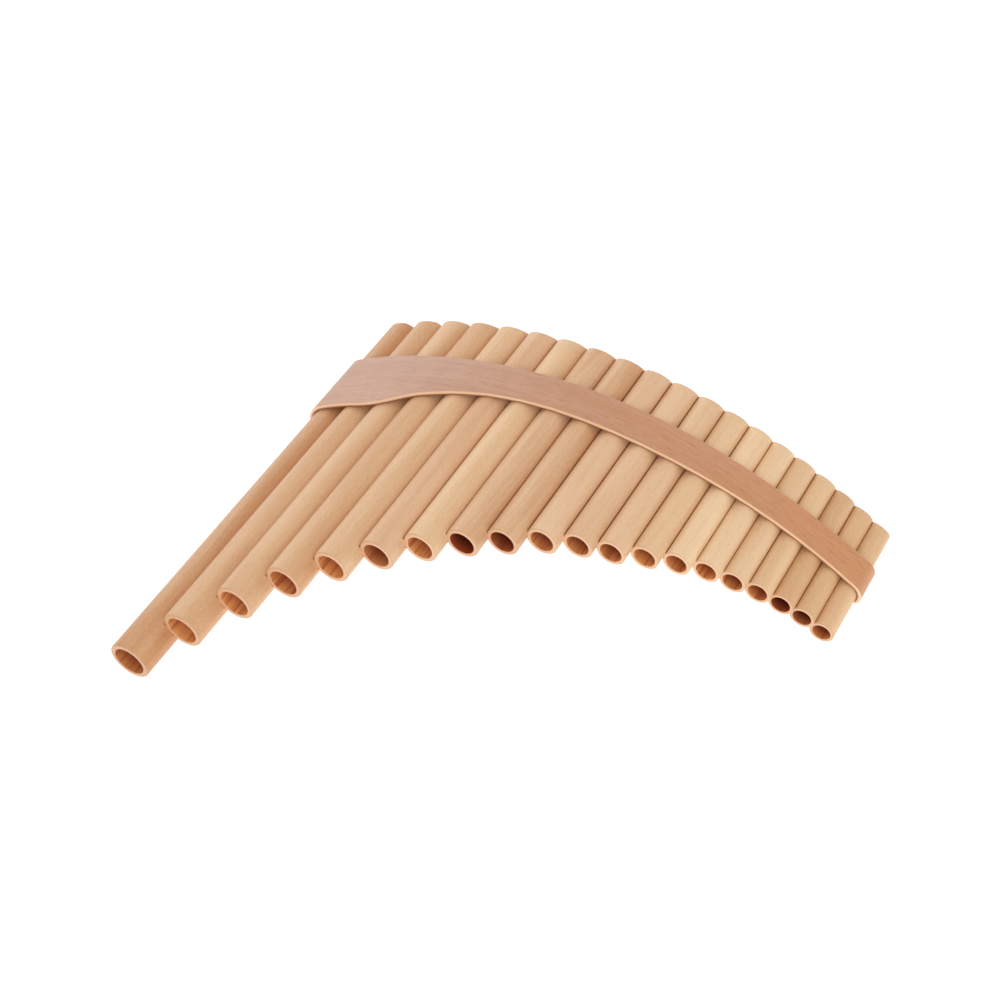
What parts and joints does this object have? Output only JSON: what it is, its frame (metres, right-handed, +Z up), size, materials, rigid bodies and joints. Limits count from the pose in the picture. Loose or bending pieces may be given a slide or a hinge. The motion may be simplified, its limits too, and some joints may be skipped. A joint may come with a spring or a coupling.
{
  "type": "pan flute",
  "caption": "Arched pan flute: stopped wooden pipes stepped from bass to treble under a bent-wood band, each with a sliding cork stopper.",
  "frame": {"origin": "at table level, under the centre of the flute's outer box, with the flute lying on its two end pipes", "axes": "+X from the bass pipe to the treble pipe; +Y along the pipes towards their blow ends; +Z up, out of the arched front"},
  "size_m": [0.2762, 0.232, 0.0595],
  "materials": {
    "pipe_wood": "oiled satin maple",
    "band_wood": "oiled satin bent fruitwood",
    "stopper_cork": "matt cork"
  },
  "bodies": {
    "raft": {"pipe_01": "pipe_wood", "pipe_02": "pipe_wood", "pipe_03": "pipe_wood", "pipe_04": "pipe_wood", "pipe_05": "pipe_wood", "pipe_06": "pipe_wood", "pipe_07": "pipe_wood", "pipe_08": "pipe_wood", "pipe_09": "pipe_wood", "pipe_10": "pipe_wood", "pipe_11": "pipe_wood", "pipe_12": "pipe_wood", "pipe_13": "pipe_wood", "pipe_14": "pipe_wood", "pipe_15": "pipe_wood", "pipe_16": "pipe_wood", "pipe_17": "pipe_wood", "pipe_18": "pipe_wood", "pipe_19": "pipe_wood", "pipe_20": "pipe_wood", "bent_wood_band": "band_wood"},
    "stopper_01": {"stopper_01": "stopper_cork"},
    "stopper_02": {"stopper_02": "stopper_cork"},
    "stopper_03": {"stopper_03": "stopper_cork"},
    "stopper_04": {"stopper_04": "stopper_cork"},
    "stopper_05": {"stopper_05": "stopper_cork"},
    "stopper_06": {"stopper_06": "stopper_cork"},
    "stopper_07": {"stopper_07": "stopper_cork"},
    "stopper_08": {"stopper_08": "stopper_cork"},
    "stopper_09": {"stopper_09": "stopper_cork"},
    "stopper_10": {"stopper_10": "stopper_cork"},
    "stopper_11": {"stopper_11": "stopper_cork"},
    "stopper_12": {"stopper_12": "stopper_cork"},
    "stopper_13": {"stopper_13": "stopper_cork"},
    "stopper_14": {"stopper_14": "stopper_cork"},
    "stopper_15": {"stopper_15": "stopper_cork"},
    "stopper_16": {"stopper_16": "stopper_cork"},
    "stopper_17": {"stopper_17": "stopper_cork"},
    "stopper_18": {"stopper_18": "stopper_cork"},
    "stopper_19": {"stopper_19": "stopper_cork"},
    "stopper_20": {"stopper_20": "stopper_cork"}
  },
  "joints": [
    {"name": "stopper_01_slide", "type": "slide", "parent": "raft", "child": "stopper_01", "axis": [0, 1, 0], "range_m": [-0.0113, 0.0229]},
    {"name": "stopper_02_slide", "type": "slide", "parent": "raft", "child": "stopper_02", "axis": [0, 1, 0], "range_m": [-0.0152, 0.0203]},
    {"name": "stopper_03_slide", "type": "slide", "parent": "raft", "child": "stopper_03", "axis": [0, 1, 0], "range_m": [-0.0176, 0.018]},
    {"name": "stopper_04_slide", "type": "slide", "parent": "raft", "child": "stopper_04", "axis": [0, 1, 0], "range_m": [-0.0113, 0.017]},
    {"name": "stopper_05_slide", "type": "slide", "parent": "raft", "child": "stopper_05", "axis": [0, 1, 0], "range_m": [-0.0151, 0.0151]},
    {"name": "stopper_06_slide", "type": "slide", "parent": "raft", "child": "stopper_06", "axis": [0, 1, 0], "range_m": [-0.015, 0.0134]},
    {"name": "stopper_07_slide", "type": "slide", "parent": "raft", "child": "stopper_07", "axis": [0, 1, 0], "range_m": [-0.0133, 0.0118]},
    {"name": "stopper_08_slide", "type": "slide", "parent": "raft", "child": "stopper_08", "axis": [0, 1, 0], "range_m": [-0.0125, 0.0112]},
    {"name": "stopper_09_slide", "type": "slide", "parent": "raft", "child": "stopper_09", "axis": [0, 1, 0], "range_m": [-0.0111, 0.0099]},
    {"name": "stopper_10_slide", "type": "slide", "parent": "raft", "child": "stopper_10", "axis": [0, 1, 0], "range_m": [-0.0098, 0.0087]},
    {"name": "stopper_11_slide", "type": "slide", "parent": "raft", "child": "stopper_11", "axis": [0, 1, 0], "range_m": [-0.0092, 0.0082]},
    {"name": "stopper_12_slide", "type": "slide", "parent": "raft", "child": "stopper_12", "axis": [0, 1, 0], "range_m": [-0.0082, 0.0073]},
    {"name": "stopper_13_slide", "type": "slide", "parent": "raft", "child": "stopper_13", "axis": [0, 1, 0], "range_m": [-0.0072, 0.0064]},
    {"name": "stopper_14_slide", "type": "slide", "parent": "raft", "child": "stopper_14", "axis": [0, 1, 0], "range_m": [-0.0064, 0.0057]},
    {"name": "stopper_15_slide", "type": "slide", "parent": "raft", "child": "stopper_15", "axis": [0, 1, 0], "range_m": [-0.006, 0.0053]},
    {"name": "stopper_16_slide", "type": "slide", "parent": "raft", "child": "stopper_16", "axis": [0, 1, 0], "range_m": [-0.0053, 0.0047]},
    {"name": "stopper_17_slide", "type": "slide", "parent": "raft", "child": "stopper_17", "axis": [0, 1, 0], "range_m": [-0.0046, 0.0041]},
    {"name": "stopper_18_slide", "type": "slide", "parent": "raft", "child": "stopper_18", "axis": [0, 1, 0], "range_m": [-0.0044, 0.0039]},
    {"name": "stopper_19_slide", "type": "slide", "parent": "raft", "child": "stopper_19", "axis": [0, 1, 0], "range_m": [-0.0038, 0.0034]},
    {"name": "stopper_20_slide", "type": "slide", "parent": "raft", "child": "stopper_20", "axis": [0, 1, 0], "range_m": [-0.0034, 0.003]}
  ]
}
